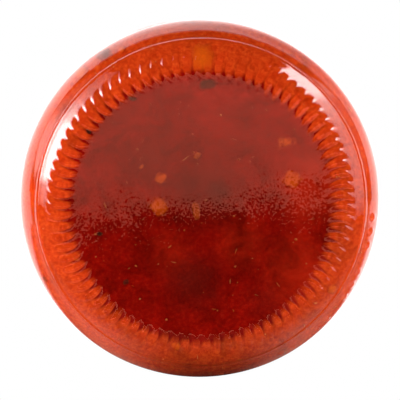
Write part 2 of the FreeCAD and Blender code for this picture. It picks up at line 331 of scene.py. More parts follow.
def bend(start, end, radius, side, count):
    # points after start along the short arc, bulging left (1) or right (-1) of the chord
    x0, y0 = start
    x1, y1 = end
    chord = hypot(x1 - x0, y1 - y0)
    rise = sqrt(max(radius ** 2 - (chord / 2) ** 2, 0.0))
    centreX = (x0 + x1) / 2 + side * rise * (y1 - y0) / chord
    centreY = (y0 + y1) / 2 - side * rise * (x1 - x0) / chord
    begin = atan2(y0 - centreY, x0 - centreX)
    turn = atan2(y1 - centreY, x1 - centreX) - begin
    turn = (turn + pi) % (2 * pi) - pi
    return [
        (centreX + radius * cos(begin + turn * i / count),
         centreY + radius * sin(begin + turn * i / count))
        for i in range(1, count + 1)
    ]


def raisedFloor(ringR, ringZ, rise, ringRound, domeCount, ringCount):
    # shallow dome from the axis, and the round that sets it down on its ring
    reach = (ringR ** 2 + rise ** 2) / (2 * rise)
    dome = reach - ringRound
    blendR = ringR * dome / reach
    blendZ = ringZ + ringRound * (1 - sqrt(1 - (ringR / reach) ** 2))
    points = [(0.0, ringZ + rise)]
    points += bend(points[-1], (blendR, blendZ), dome, 1, domeCount)
    points += bend(points[-1], (ringR, ringZ), ringRound, -1, ringCount)
    return points


def shoulderPoints(wallR, topR, shoulderRound, neckRound, count):
    centreR = wallR - shoulderRound
    reach = shoulderRound + neckRound
    across = topR + neckRound - centreR
    climb = sqrt(reach ** 2 - across ** 2)
    footZ = jar["neckZ"] - climb
    share = shoulderRound / reach
    points = [(wallR, footZ)]
    points += bend(points[-1], (centreR + share * across, footZ + share * climb), shoulderRound, -1, count)
    points += bend(points[-1], (topR, jar["neckZ"]), neckRound, 1, count // 2)
    return points


def evenly(start, end, count):
    return [
        (start[0] + (end[0] - start[0]) * i / count, start[1] + (end[1] - start[1]) * i / count)
        for i in range(1, count + 1)
    ]


def spinOutline(name, outline, steps):
    # a chain of points is extruded from one vertex, then spun once round the axis
    pickNothing()
    bpy.ops.mesh.primitive_circle_add(vertices=3, radius=mm)
    piece = bpy.context.object
    piece.name = name
    startEdit()
    bpy.ops.mesh.select_mode(type="VERT")
    pickAll()
    bpy.ops.mesh.merge(type="CENTER")
    bpy.ops.transform.translate(value=(outline[0][0] * mm, 0, outline[0][1] * mm))
    for (r0, z0), (r1, z1) in zip(outline, outline[1:]):
        bpy.ops.mesh.extrude_region_move(
            TRANSFORM_OT_translate={"value": ((r1 - r0) * mm, 0, (z1 - z0) * mm)})
    pickAll()
    bpy.ops.mesh.spin(steps=steps, angle=2 * pi, center=(0, 0, 0), axis=(0, 0, 1))
    pickAll()
    bpy.ops.mesh.remove_doubles(threshold=0.002 * mm)
    endEdit()
    return piece


def settle(piece):
    # place and turn go into the mesh, and every face looks outwards
    pickOnly(piece)
    bpy.ops.object.transform_apply(location=True, rotation=True, scale=True)
    startEdit()
    bpy.ops.mesh.normals_make_consistent(inside=False)
    endEdit()
    bpy.ops.object.shade_smooth()


def finishPiece(piece, material):
    settle(piece)
    coat(piece, material)
    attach(piece, "root")


# what is sunk in the sauce and shows at the glass
bits = {
    "carrotDice": {
        "light": (0.80, 0.115, 0.005),
        "dark": (0.66, 0.085, 0.005),
        "grainPerMm": 1.3,
        "film": (0.74, 0.08),  # how much sauce lies over it, on the floor and elsewhere
        "proud": 0.30,
        "cut": True,  # cut into cubes, not round
        "others": 46,
        "size": (1.6, 4.8),
        # x, y, width, length, turn in degrees
        "placed": [
            (0.2, -34.3, 5.0, 6.4, 4), (-9.8, -6.2, 2.9, 2.7, 20), (-10.1, 0.9, 4.6, 4.0, 55),
            (21.7, -6.0, 3.8, 4.3, 10), (20.2, -14.8, 2.9, 1.7, -30), (-5.8, 34.1, 2.3, 1.9, 30),
            (30.7, 20.5, 2.2, 2.2, 15), (-29.5, 12.8, 1.4, 1.0, 0),
        ],
    },
    "onionBits": {
        "light": (0.72, 0.155, 0.024),
        "dark": (0.58, 0.085, 0.011),
        "grainPerMm": 1.6,
        "film": (0.70, 0.22),
        "proud": 0.28,
        "cut": True,
        "others": 24,
        "size": (1.0, 3.4),
        "placed": [(-1.0, -11.5, 1.7, 2.0, 30), (-1.2, 1.9, 2.0, 4.8, -8), (-14.3, -8.9, 0.9, 1.4, 40)],
    },
    "herbFlakes": {
        "light": (0.050, 0.022, 0.010),
        "dark": (0.012, 0.008, 0.006),
        "grainPerMm": 1.4,
        "film": (0.22, 0.50),
        "proud": 0.22,
        "taper": (0.2, 0.7),
        "others": 40,
        "size": (1.0, 4.6),
        "placed": [
            (1.4, -28.7, 5.4, 3.2, -8), (-16.3, -25.3, 2.4, 1.6, 25), (-26.5, -17.4, 1.7, 1.9, 0),
            (-24.4, 7.1, 1.8, 1.4, 15), (-18.2, 18.8, 1.9, 1.6, -20),
        ],
    },
    "seedSpecks": {
        "light": (0.80, 0.34, 0.10),
        "dark": (0.66, 0.15, 0.03),
        "grainPerMm": 0.8,
        "film": (0.74, 0.35),
        "proud": 0.20,
        "divided": 2,
        "ragged": 0.06,
        "others": 760,
        "size": (0.22, 0.62),
        "placed": [],
    },
}


glassLook = {
    "tint": (0.985, 0.995, 0.99),
    "ior": 1.52,
    "passes": (0.94, 0.96, 0.95),  # what scattered light keeps on its way through
    "wavePerMm": 0.07,  # slow waves of the mould, and their depth in millimetres
    "waveBump": 0.22,
    "peelPerMm": 0.45,  # its orange peel
    "peelBump": 0.008,
    "grainPerMm": 1.9,  # fine grain of the raised floor
    "grainTilt": 0.11,  # how far it tilts the surface, and where it ends
    "grainEdge": (29.0, 31.5),
}

sauceLook = {
    "wall": [(0.32, (0.53, 0.030, 0.004)), (0.5, (0.69, 0.054, 0.007)), (0.68, (0.82, 0.094, 0.012))],
    # over the raised floor the sauce is given a darker, deeper red: painted shade
    "panel": [(0.30, (0.20, 0.0022, 0.0011)), (0.5, (0.26, 0.0036, 0.0016)), (0.70, (0.35, 0.0080, 0.0030))],
    "highFrom": 0.02,  # metres above the base, past which all of it is wall
    "teethFrom": 31.5,  # the ridges carry the wall's lit colour in over the floor's painted shade, as painted light through the ridges
    "teethRun": 4.0,
    "teethGain": (1.2, 1.9, -1.1),  # what the ridge and the way outwards add to a tooth, and its start
    "teethEdge": (-0.5, 0.45),
    "waverPerMm": 0.35,
    "teethWaver": 0.8,
    "teethFall": 12.0,  # they start later towards +Y
    "teethSoft": (0.020, 0.036),  # and are softer towards both ends of the Y axis, by this share
    "teethBlur": 0.7,
    "teethMiddle": 0.45,
    # painted shade in the gaps between the ridges, and where it ends outwards
    "crescent": [(0.0, 0.76), (0.6, 1.0), (1.0, 1.04)],
    "crescentEnd": (33.0, 36.2),
    "ridge": [(0.0, 0.22), (0.14, 0.18), (0.35, 1.0), (0.61, 1.0), (1.0, 0.22)],
    # painted light: the floor's colour grows lighter towards its edge
    "panelShade": [(0.0, 0.82), (0.55, 0.85), (0.95, 1.08)],
    "blotch": [(0.32, 0.68), (0.48, 0.92), (0.66, 1.10)],
    "patchShade": [(0.30, 0.82), (0.47, 0.96), (0.66, 1.06)],
    "smudgeShade": [(0.60, 1.0), (0.76, 0.45)],
    # soft spots over the floor that make the sauce lighter or darker: x, y, how far they reach, how strongly
    # they show
    "carrotGlow": (0.60, 0.075, 0.006),
    "paleGlow": (0.50, 0.022, 0.006),
    "pale": [(27, -4, 13, 0.5), (24, 16, 13, 0.45), (10, 10, 9, 0.3), (-8, 12, 8, 0.2)],
    "darkGlow": (0.060, 0.008, 0.005),
    "darkish": [
        (4, -2.5, 6, 0.75), (1, -3, 13, 0.4), (-12, -11, 9, 0.35), (-2, 19, 10, 0.45),
        (-20, -22, 8, 0.3), (16, 24, 8, 0.25),
    ],
    "spotCore": 0.1,  # share of a spot that shows fully
    "spotWarp": (4.5, 4.5, 0.0),  # how far its edge strays
    "warpPerMm": 0.42,
    "carrotSpread": (0.66, 0.6),  # a cube's own spot: its reach, as a share of the cube, and its strength
    "ragged": (1.6, 0.2),  # how the spots break up
    "pulpy": 2.0,
    "smudged": 0.8,
    "ior": 1.36,
    "lumps": (0.5, 0.6, 0.5),  # of the open top: per millimetre, strength and depth
    "depth": 0.35,  # share of light that goes in and comes back out
    "reach": (2.2, 0.5, 0.25),
    "pulpPerMm": 1.2,
    "patchPerMm": 0.14,
    "smudgePerMm": 0.10,
}


def grainedNormal(tree, normal):
    look = glassLook
    tilt = between(tree, reachNode(tree)[0], *look["grainEdge"], fall=True)
    tilt = times(tree, tilt, look["grainTilt"])
    stray = strayNode(tree, look["grainPerMm"], 1.0)
    return vectorNode(tree, "NORMALIZE", vectorNode(tree, "MULTIPLY_ADD", stray, tilt, normal))


def makeGlass():
    material, tree = newMaterial("clearGlass")
    look = glassLook
    below = None
    for size, depth in (("wavePerMm", "waveBump"), ("peelPerMm", "peelBump")):
        waves = noiseNode(tree, look[size], 1.0)
        below = bumpNode(tree, waves, look[depth], below=below)
    shader = principled(tree, Roughness=0.0, IOR=look["ior"], Base_Color=(*look["tint"], 1),
                        Transmission_Weight=1.0, Normal=grainedNormal(tree, below))
    # lamps and scattered light pass the glass, so that they reach the sauce behind it
    path = addNode(tree, "LightPath").outputs
    through = mathNode(tree, "MAXIMUM", path["Is Shadow Ray"], path["Is Diffuse Ray"])
    clear = clearShader(tree, Color=(*look["passes"], 1))
    showSurface(tree, mixShaders(tree, through, shader, clear))
    return material


def outsidePanel(tree):
    # 0 over the raised floor and 1 outside it, toothed as the ridges are; the painted light that brightens
    # the floor outwards; and the painted shade in the gaps between the ridges
    look = sauceLook
    reach, place = reachNode(tree)
    x, y, z = splitNode(tree, "Object")
    half = (knurl["toR"] - knurl["fromR"]) / 2
    along = mathNode(tree, "DIVIDE", mathNode(tree, "SUBTRACT", reach, knurl["fromR"] + half), half)
    bow = times(tree, along, along)
    bow = timesPlus(tree, bow, -knurl["bow"], knurl["bow"])
    bow = mathNode(tree, "DIVIDE", mathNode(tree, "MAXIMUM", bow, 0.0), reach)
    turn = mathNode(tree, "ADD", mathNode(tree, "ARCTAN2", y, x), bow)
    share = mathNode(tree, "FRACT", times(tree, turn, knurl["count"] / (2 * pi)))
    ridge = rampNode(tree, share, look["ridge"])
    soft = between(tree, mathNode(tree, "ABSOLUTE", y), *look["teethSoft"])
    soft = times(tree, soft, look["teethBlur"])
    ridge = mixColour(tree, soft, ridge, grey(look["teethMiddle"]))
    inwards = mathNode(tree, "DIVIDE", mathNode(tree, "SUBTRACT", reach, look["teethFrom"]), look["teethRun"])
    fromRidge, fromReach, start = look["teethGain"]
    waver = noiseNode(tree, look["waverPerMm"], 2.0, (0.4, 0.1, 0.6))
    waver = timesPlus(tree, waver, look["teethWaver"], start - look["teethWaver"] / 2)
    waver = timesPlus(tree, y, -look["teethFall"], waver)
    tooth = timesPlus(tree, inwards, fromReach, waver)
    tooth = timesPlus(tree, ridge, fromRidge, tooth)
    high = mathNode(tree, "GREATER_THAN", z, look["highFrom"])
    paintedLightOutwards = rampNode(tree, mathNode(tree, "DIVIDE", reach, look["teethFrom"]), look["panelShade"])
    crescent = rampNode(tree, ridge, look["crescent"])
    crescent = mixColour(tree, between(tree, reach, *look["crescentEnd"]), crescent, grey(1.0))
    outside = mathNode(tree, "MAXIMUM", between(tree, tooth, *look["teethEdge"]), high)
    return outside, paintedLightOutwards, mixColour(tree, high, crescent, grey(1.0)), place, high


def softSpots(tree, place, spots):
    # how strongly any of these soft, ragged spots shows
    total = 0.0
    stray = strayNode(tree, sauceLook["warpPerMm"], 2.0)
    place = vectorNode(tree, "MULTIPLY_ADD", stray, sauceLook["spotWarp"], place)
    for x, y, reach, strength in spots:
        apart = vectorNode(tree, "DISTANCE", place, (x, y, 0))
        spot = between(tree, apart, sauceLook["spotCore"] * reach, reach, fall=True)
        total = mathNode(tree, "MAXIMUM", times(tree, spot, strength), total)
    return total


def sauceColourWithPaintedShade(tree):
    look = sauceLook
    pulp = noiseNode(tree, look["pulpPerMm"], 5.0, Roughness=0.7)
    patch = noiseNode(tree, look["patchPerMm"], 4.0, Roughness=0.6, Distortion=0.7)
    smudge = noiseNode(tree, look["smudgePerMm"], 3.0, (0.7, 0.3, 1.1))
    outside, paintedLightTowardsEdge, crescent, place, high = outsidePanel(tree)
    # the wall colour carries the painted shade of the ridge gaps
    wallColour = multiplied(tree, rampNode(tree, pulp, look["wall"]), crescent)
    # the floor's darker colour is painted shade, lightened towards its edge by painted light
    panelColour = multiplied(tree, rampNode(tree, pulp, look["panel"]), paintedLightTowardsEdge)
    panelColour = multiplied(tree, panelColour, rampNode(tree, patch, look["blotch"]))
    colour = mixColour(tree, outside, panelColour, wallColour)
    below = mathNode(tree, "SUBTRACT", 1.0, high)
    spread, strength = look["carrotSpread"]
    carrots = [(x, y, spread * max(width, length), strength)
               for x, y, width, length, turn in bits["carrotDice"]["placed"]]
    ragged = timesPlus(tree, patch, *look["ragged"])
    pulpy = times(tree, pulp, look["pulpy"])
    for shade, spots in (("paleGlow", look["pale"]), ("darkGlow", look["darkish"]), ("carrotGlow", carrots)):
        shows = times(tree, softSpots(tree, place, spots), below)
        if shade == "carrotGlow":
            shows = times(tree, shows, pulpy)
        else:
            shows = times(tree, shows, ragged)
            shows = times(tree, shows, mathNode(tree, "SUBTRACT", 1.0, outside))
        colour = mixColour(tree, shows, colour, look[shade])
    colour = multiplied(tree, colour, rampNode(tree, patch, look["patchShade"]))
    return multiplied(tree, colour, rampNode(tree, smudge, look["smudgeShade"]), look["smudged"]), outside


def makeSauce(name, wet):
    material, tree = newMaterial(name)
    look = sauceLook
    values = {"Roughness": 0.6, "Specular_IOR_Level": 0.0}
    if wet:
        perMm, strength, depth = look["lumps"]
        lumps = noiseNode(tree, perMm, 5.0)
        values = {"Roughness": 0.25, "Normal": bumpNode(tree, lumps, depth, strength)}
    showSurface(tree, principled(
        tree, IOR=look["ior"], Subsurface_Weight=look["depth"], Subsurface_Radius=look["reach"],
        Subsurface_Scale=mm, Base_Color=sauceColourWithPaintedShade(tree)[0], **values))
    return material


glass = makeGlass()
sauceAtGlass = makeSauce("sauceAtGlass", wet=False)
sauceOnTop = makeSauce("sauceOnTop", wet=True)
print("materials made")


def undersideZ(r):
    reach = (jar["crestR"] ** 2 + jar["pushupHeight"] ** 2) / (2 * jar["pushupHeight"])
    dome = reach - jar["bearingRound"]
    if r < jar["crestR"] * dome / reach:
        return jar["landZ"] + jar["pushupHeight"] - dome + sqrt(dome ** 2 - r ** 2)
    if r < jar["crestR"]:
        drop = sqrt(jar["bearingRound"] ** 2 - (r - jar["crestR"]) ** 2)
        return jar["landZ"] + jar["bearingRound"] - drop
    if r < jar["landR"]:
        return jar["landZ"]
    return jar["heelZ"] - sqrt(jar["heelRound"] ** 2 - (r - jar["landR"]) ** 2)


def outwardAt(r):
    # outward direction of the underside, as (away from the axis, up)
    if r < jar["crestR"]:
        lean = (r - jar["crestR"]) / jar["bearingRound"]
    elif r < jar["landR"]:
        lean = 0.0
    else:
        lean = min((r - jar["landR"]) / jar["heelRound"], 1.0)
    return lean, -sqrt(1 - lean ** 2)


def eased(value):
    value = min(max(value, 0.0), 1.0)
    return value * value * (3 - 2 * value)


def knurlBow(r):
    half = (knurl["toR"] - knurl["fromR"]) / 2
    along = r - (knurl["toR"] + knurl["fromR"]) / 2
    if abs(along) >= half:
        return 0.0
    radius = (half ** 2 + knurl["bow"] ** 2) / (2 * knurl["bow"])
    return sqrt(radius ** 2 - along ** 2) - radius + knurl["bow"]


def knurlHeight(r, share):
    # share runs from 0 to 1 over one pitch
    fade = eased((r - knurl["fromR"]) / knurl["innerFade"]) * eased((knurl["toR"] - r) / knurl["outerFade"])
    apart = share - knurl["crest"]
    flank = knurl["steep"] if apart > 0 else knurl["gentle"]
    return knurl["proud"] * fade * eased(1 - abs(apart) / flank)


def dotHeight(r, turned):
    marks, pitch = heelDots["marks"], heelDots["pitch"]
    along = (turned - heelDots["first"]) / pitch
    along -= round((along - (len(marks) - 1) / 2) / (360 / abs(pitch))) * 360 / abs(pitch)
    nearest = round(along)
    if not 0 <= nearest < len(marks) or not marks[nearest]:
        return 0.0
    lean = sqrt(max(1 - ((r - jar["landR"]) / jar["heelRound"]) ** 2, 0.01))
    across = (along - nearest) * radians(pitch) * r
    apart = hypot(across, (r - heelDots["r"]) / lean) / (heelDots["size"] / 2)
    ends, run = heelDots["edge"]
    return heelDots["proud"] * eased((ends - apart) / run)


def cutBaseRelief(piece):
    pitch = 2 * pi / knurl["count"]
    for vertex in piece.data.vertices:
        r = hypot(vertex.co.x, vertex.co.y) / mm
        angle = atan2(vertex.co.y, vertex.co.x)
        if r > jar["bodyR"] - 0.001:
            continue
        share = (angle / pitch) % 1.0
        height = knurlHeight(r, 1 - share) * knurl["heights"][int(angle // pitch) % knurl["count"]]
        height += seam["proud"] * eased(1 - abs(r - seam["r"]) / seam["half"])
        height += dotHeight(r, degrees(angle))
        outR, outZ = outwardAt(r)
        angle -= knurlBow(r) / r
        reach = r + outR * height
        z = vertex.co.z / mm + outZ * height
        vertex.co = (reach * cos(angle) * mm, reach * sin(angle) * mm, z * mm)


def cutThreads(piece):
    quarter, endRun = 360.0 / thread["count"], thread["endRun"]
    edge, run = thread["edge"]
    for vertex in piece.data.vertices:
        r = hypot(vertex.co.x, vertex.co.y) / mm
        if abs(r - jar["finishR"]) > 0.01:
            continue
        turn = degrees(atan2(vertex.co.y, vertex.co.x)) % quarter
        if turn > thread["sweep"]:
            continue
        middle = thread["lowZ"] + thread["height"] / 2 + thread["fall"] * turn / thread["sweep"]
        apart = abs(vertex.co.z / mm - middle) / (thread["height"] / 2)
        ends = eased(turn / endRun) * eased((thread["sweep"] - turn) / endRun)
        grown = 1 + thread["proud"] * ends * eased((edge - apart) / run) / r
        vertex.co.x *= grown
        vertex.co.y *= grown


def bridgeAt(piece, r, z, within=1.2):
    # joins the open loops that lie near this radius and height
    bpy.ops.object.mode_set(mode="EDIT")
    bpy.ops.mesh.select_mode(type="EDGE")
    bpy.ops.mesh.select_all(action="DESELECT")
    mesh = bmesh.from_edit_mesh(piece.data)
    for edge in mesh.edges:
        middle = (edge.verts[0].co + edge.verts[1].co) / 2
        near = max(abs(hypot(middle.x, middle.y) / mm - r), abs(middle.z / mm - z)) < within
        edge.select = edge.is_boundary and near
    bmesh.update_edit_mesh(piece.data)
    bpy.ops.mesh.bridge_edge_loops()
    endEdit()


def makeJar():
    domeEdge = jar["domeEdge"]
    # close rings across the ridges and the seam, wider ones between
    rings = [knurl["fromR"] + 0.25 * i for i in range(27)]
    rings += [36.25, 36.5, 36.75, 37.0, 37.4, 37.9, 38.3]
    rings += [seam["r"] + offset for offset in (-0.3, -0.2, -0.1, 0, 0.1, 0.2, 0.3)]
    rings += [39.7, 40.15]
    base = [(r, undersideZ(r)) for r in rings]
    heelStart = asin((rings[-1] - jar["landR"]) / jar["heelRound"])
    for i in range(1, 17):
        lean = heelStart + (pi / 2 - heelStart) * i / 16
        base.append((jar["landR"] + jar["heelRound"] * sin(lean),
                     jar["heelZ"] - jar["heelRound"] * cos(lean)))
    base += evenly(base[-1], (jar["bodyR"], jar["baseTop"]), 3)
    fine = spinOutline("jarBase", base, jar["fineSteps"])
    cutBaseRelief(fine)

    dome = [(domeEdge * i / 14, undersideZ(domeEdge * i / 14)) for i in range(15)]
    middle = spinOutline("jarDome", dome, jar["wallSteps"])

    bodyR = jar["bodyR"]
    panelR = bodyR - jar["panelRecess"]
    outside = shoulderPoints(bodyR, jar["neckR"], jar["shoulderRound"], jar["neckRound"], 18)
    footZ = outside[0][1]
    bandZ = jar["heelZ"] + jar["heelBand"]
    upperZ = footZ - jar["shoulderBand"]
    slope = jar["recessSlope"]
    wall = [(bodyR, jar["baseTop"] + 0.8), (bodyR, bandZ - 0.3)]
    recess = [(jar["panelRecess"] * eased(i / 6), slope * i / 6) for i in range(1, 7)]
    wall += [(bodyR - inset, bandZ + climb) for inset, climb in recess]
    wall += evenly(wall[-1], (panelR, upperZ - slope), 6)
    wall += [(panelR + inset, upperZ - slope + climb) for inset, climb in recess]
    wall += outside
    beadZ = jar["neckZ"] + jar["beadRise"]
    finishZ = beadZ + jar["beadHeight"]
    chord = hypot(jar["neckStep"], jar["beadHeight"])
    beadRound = ((chord / 2) ** 2 + jar["beadProud"] ** 2) / (2 * jar["beadProud"])
    wall.append((jar["neckR"], beadZ))
    wall += bend(wall[-1], (jar["finishR"], finishZ), beadRound, -1, 10)
    wall += evenly(wall[-1], (jar["finishR"], thread["lowZ"] - 0.6), 3)
    wall += evenly(wall[-1], (jar["finishR"], thread["lowZ"] + thread["height"] + thread["fall"] + 0.4), 18)
    wall.append((jar["finishR"], jar["rimZ"] - jar["rimRound"]))
    wall += bend(wall[-1], (jar["finishR"] - jar["rimRound"], jar["rimZ"]), jar["rimRound"], -1, 5)
    wall.append((jar["boreR"] + jar["rimRound"], jar["rimZ"]))
    wall += bend(wall[-1], (jar["boreR"], jar["rimZ"] - jar["rimRound"]), jar["rimRound"], -1, 5)
    wall += shoulderPoints(jar["innerR"], jar["boreR"], jar["innerShoulder"], jar["throatRound"], 16)[::-1]
    ring = (jar["innerRingR"], jar["floorZ"])
    wall.append((jar["innerR"], jar["floorZ"] + jar["innerHeelRound"]))
    wall += bend(wall[-1], ring, jar["innerHeelRound"], 1, 10)
    wall += raisedFloor(*ring, jar["innerRise"], jar["floorRound"], 6, 3)[-2::-1]
    upper = spinOutline("jarWall", wall, jar["wallSteps"])
    cutThreads(upper)

    pickOnly(upper, fine, middle)
    bpy.ops.object.join()
    upper.name = "jarGlass"
    bridgeAt(upper, domeEdge + 0.3, undersideZ(domeEdge + 0.3))
    bridgeAt(upper, bodyR, jar["baseTop"] + 0.4)
    return upper


jarGlass = makeJar()
finishPiece(jarGlass, glass)
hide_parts("glass_jar")
print("glass made", len(jarGlass.data.polygons))


sauce = {
    "intoWall": 0.15,  # it reaches into the glass, so that no gap shows
    "meniscus": 0.9,
    "meniscusRun": 1.6,
    "steps": 240,
}


def sauceOutline():
    into = sauce["intoWall"]
    points = raisedFloor(jar["innerRingR"], jar["floorZ"] - into, jar["innerRise"],
                         jar["floorRound"] + into, 30, 6)
    points += bend(points[-1], (jar["innerR"] + into, jar["floorZ"] + jar["innerHeelRound"]),
                   jar["innerHeelRound"] + into, -1, 16)
    inner = shoulderPoints(jar["innerR"] + into, jar["boreR"] + into, jar["innerShoulder"] + into,
                           jar["throatRound"] - into, 40)
    points += evenly(points[-1], inner[0], 40)
    top = jar["fillZ"] + sauce["meniscus"]
    points += [point for point in inner[1:] if point[1] < top]
    return points


sauceSide = sauceOutline()


def makeSauceBody():
    edgeR, edgeZ = sauceSide[-1]
    top = []
    for i in range(1, 7):
        share = i / 6
        top.append((edgeR - sauce["meniscusRun"] * share,
                    jar["fillZ"] + (edgeZ - jar["fillZ"]) * (1 - share) ** 2))
    top += evenly(top[-1], (0.0, jar["fillZ"]), 24)
    piece = spinOutline("sauceBody", sauceSide + top, sauce["steps"])
    settle(piece)
    coat(piece, sauceAtGlass, sauceOnTop)
    for face in piece.data.polygons:
        r = hypot(face.center.x, face.center.y) / mm
        face.material_index = int(face.center.z / mm > jar["fillZ"] - 0.5 and r < edgeR - 0.05)
    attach(piece, "root")
    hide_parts("sauce")
    return piece


sauceBody = makeSauceBody()
print("sauce made", len(sauceBody.data.polygons))


# how the sauce over the bits varies, and how light scatters in them
bitFilm = {"perMm": 0.45, "uneven": 0.9, "scatter": (0.3, (1.0, 0.5, 0.2))}

bitShape = {
    # for any kind that doesn't say otherwise
    "cut": False,
    "divided": 3,
    "ragged": 0.035,
    "taper": (0.0, 0.45),
    "models": 6,  # different bits of each kind, which are then copied
    "bevel": 0.16,  # of a cut one, in its own width
    "skew": 0.25,
    "wave": (0.10, 7),  # how far its ends waver, and how fast
    "coverFrom": 0.35,  # where the sauce starts to close over it, from its middle outwards
    "coverRun": 0.6,
    "flatWithin": 12.0,  # millimetres along the floor from the axis
}

scatter = {
    "fromEdge": 1.5,  # the loose ones start this far inside the wall
    "belowTop": 5.0,
    "fewLarge": 2.2,  # the higher, the fewer large ones
    "longer": (0.7, 1.4),
    "strands": 0.25,  # share of the specks that are thin and long
    "strandLonger": (2.0, 4.5),
    "strandWidth": 0.6,
}


def makeBitMaterial(kind):
    values = bits[kind]
    material, tree = newMaterial(kind)
    grain = noiseNode(tree, values["grainPerMm"], 4.0, Distortion=0.5)
    own = rampNode(tree, grain, [(0.35, values["dark"]), (0.65, values["light"])])
    sauceShade, outside = sauceColourWithPaintedShade(tree)
    # a film of sauce, thicker towards the bit's edge
    edge = addNode(tree, "Attribute", attribute_name="cover").outputs["Fac"]
    onFloor, elsewhere = values["film"]
    film = timesPlus(tree, outside, elsewhere - onFloor, onFloor)
    veil = noiseNode(tree, bitFilm["perMm"], 3.0, (0.2, 0.5, 0.9))
    film = timesPlus(tree, mathNode(tree, "SUBTRACT", veil, 0.5), bitFilm["uneven"], film)
    film = mathNode(tree, "MAXIMUM", mathNode(tree, "MAXIMUM", film, edge), 0.0)
    film = mathNode(tree, "MINIMUM", film, 1.0)
    depth, reach = bitFilm["scatter"]
    showSurface(tree, principled(
        tree, Roughness=0.6, IOR=sauceLook["ior"], Specular_IOR_Level=0.0, Subsurface_Weight=depth,
        Subsurface_Radius=reach, Subsurface_Scale=mm, Base_Color=mixColour(tree, film, own, sauceShade)))
    return material


def modelBit(kind, number):
    # one bit lying flat, one unit wide and long, its shown face upwards
    values = {**bitShape, **bits[kind]}
    pickNothing()
    if values["cut"]:
        bpy.ops.mesh.primitive_cube_add(size=1.0)
    else:
        bpy.ops.mesh.primitive_ico_sphere_add(subdivisions=values["divided"], radius=0.5)
    bit = bpy.context.object
    startEdit()
    if values["cut"]:
        bpy.ops.mesh.bevel(offset=values["bevel"], segments=2, affect="EDGES")
        pickAll()
        bpy.ops.mesh.subdivide(number_cuts=2, smoothness=0.3)
    pickAll()
    bpy.ops.transform.vertex_random(offset=values["ragged"], seed=number)
    endEdit()
    skew = uniform(-values["skew"], values["skew"])
    taper = uniform(*values["taper"])
    far, fast = values["wave"]
    for vertex in bit.data.vertices:
        x, y, z = vertex.co
        vertex.co = (x * (1 - taper * (y + 0.5)) + skew * y, y + far * sin(fast * x + number), z)
    return bit


sideLengths = [0.0]
for (r0, z0), (r1, z1) in zip(sauceSide, sauceSide[1:]):
    sideLengths.append(sideLengths[-1] + hypot(r1 - r0, z1 - z0))


def sideAt(distance):
    # radius, height and outward direction at a distance along the sauce's outline
    distance = min(max(distance, 0.0), sideLengths[-1] - 1e-6)
    index = next(i for i in range(1, len(sideLengths)) if sideLengths[i] > distance)
    share = (distance - sideLengths[index - 1]) / (sideLengths[index] - sideLengths[index - 1])
    (r0, z0), (r1, z1) = sauceSide[index - 1], sauceSide[index]
    length = hypot(r1 - r0, z1 - z0)
    return r0 + (r1 - r0) * share, z0 + (z1 - z0) * share, (z1 - z0) / length, -(r1 - r0) / length


def floorDistance(r):
    index = next(i for i in range(1, len(sauceSide)) if sauceSide[i][0] > r)
    share = (r - sauceSide[index - 1][0]) / (sauceSide[index][0] - sauceSide[index - 1][0])
    return sideLengths[index - 1] + share * (sideLengths[index] - sideLengths[index - 1])


def layBit(model, kind, distance, angle, width, length, turn):
    # the copy is wrapped on to the sauce's surface, and stands a little out of it
    values = bits[kind]
    bit = model.copy()
    bit.data = model.data.copy()
    bpy.context.scene.collection.objects.link(bit)
    cover = bit.data.attributes.new("cover", "FLOAT", "POINT")
    c, n = cos(turn), sin(turn)
    middleR = max(sideAt(distance)[0], 0.5)
    for index, vertex in enumerate(bit.data.vertices):
        x, y, z = vertex.co
        edge = min(max(abs(2 * x), abs(2 * y), hypot(x, y) * 1.7), 1.1)
        u, v = x * width, y * length
        across, along = u * c - v * n, u * n + v * c
        height = values["proud"] * (1 - edge ** 4) if z > 0 else -0.5 * min(width, length) * abs(2 * z)
        covered = eased((edge - bitShape["coverFrom"]) / bitShape["coverRun"])
        cover.data[index].value = covered if z > 0 else 1.0
        r, up, outR, outZ = sideAt(distance + along)
        if distance < bitShape["flatWithin"]:
            # near the axis the bit is laid flat instead of along its ring
            px = middleR * cos(angle) + along * cos(angle) - across * sin(angle)
            py = middleR * sin(angle) + along * sin(angle) + across * cos(angle)
            r = hypot(px, py)
            up, outR, outZ = sideAt(floorDistance(r))[1:]
            place = atan2(py, px)
        else:
            place = angle + across / r
        reach = r + outR * height
        vertex.co = (reach * cos(place) * mm, reach * sin(place) * mm, (up + outZ * height) * mm)
    return bit


def makeBits(kind):
    values = bits[kind]
    models = [modelBit(kind, number) for number in range(bitShape["models"])]
    laid = []
    for x, y, width, length, turn in values["placed"]:
        angle = atan2(y, x)
        distance = floorDistance(hypot(x, y))
        # the turn is given from the x axis, and a bit is laid from its own radius
        laid.append(layBit(choice(models), kind, distance, angle, width, length,
                           angle - pi / 2 - radians(turn)))
    specks = kind == "seedSpecks"
    fromDistance = 0.0 if specks else floorDistance(jar["innerR"] - scatter["fromEdge"])
    toDistance = sideLengths[-1] - scatter["belowTop"]
    while len(laid) < len(values["placed"]) + values["others"]:
        distance = uniform(fromDistance, toDistance)
        if uniform(0, jar["innerR"]) > sideAt(distance)[0]:
            continue
        small, large = values["size"]
        width = small + (large - small) * random() ** scatter["fewLarge"]
        length = width * uniform(*scatter["longer"])
        if specks and random() < scatter["strands"]:
            length = width * uniform(*scatter["strandLonger"])
            width *= scatter["strandWidth"]
        laid.append(layBit(choice(models), kind, distance, uniform(0, 2 * pi),
                           width, length, uniform(0, 2 * pi)))
    for model in models:
        bpy.data.objects.remove(model)
    pickOnly(*laid)
    bpy.ops.object.join()
    piece = laid[0]
    piece.name = kind
    finishPiece(piece, makeBitMaterial(kind))
    print(kind, "made", len(laid), len(piece.data.polygons))


for kind in bits:
    makeBits(kind)


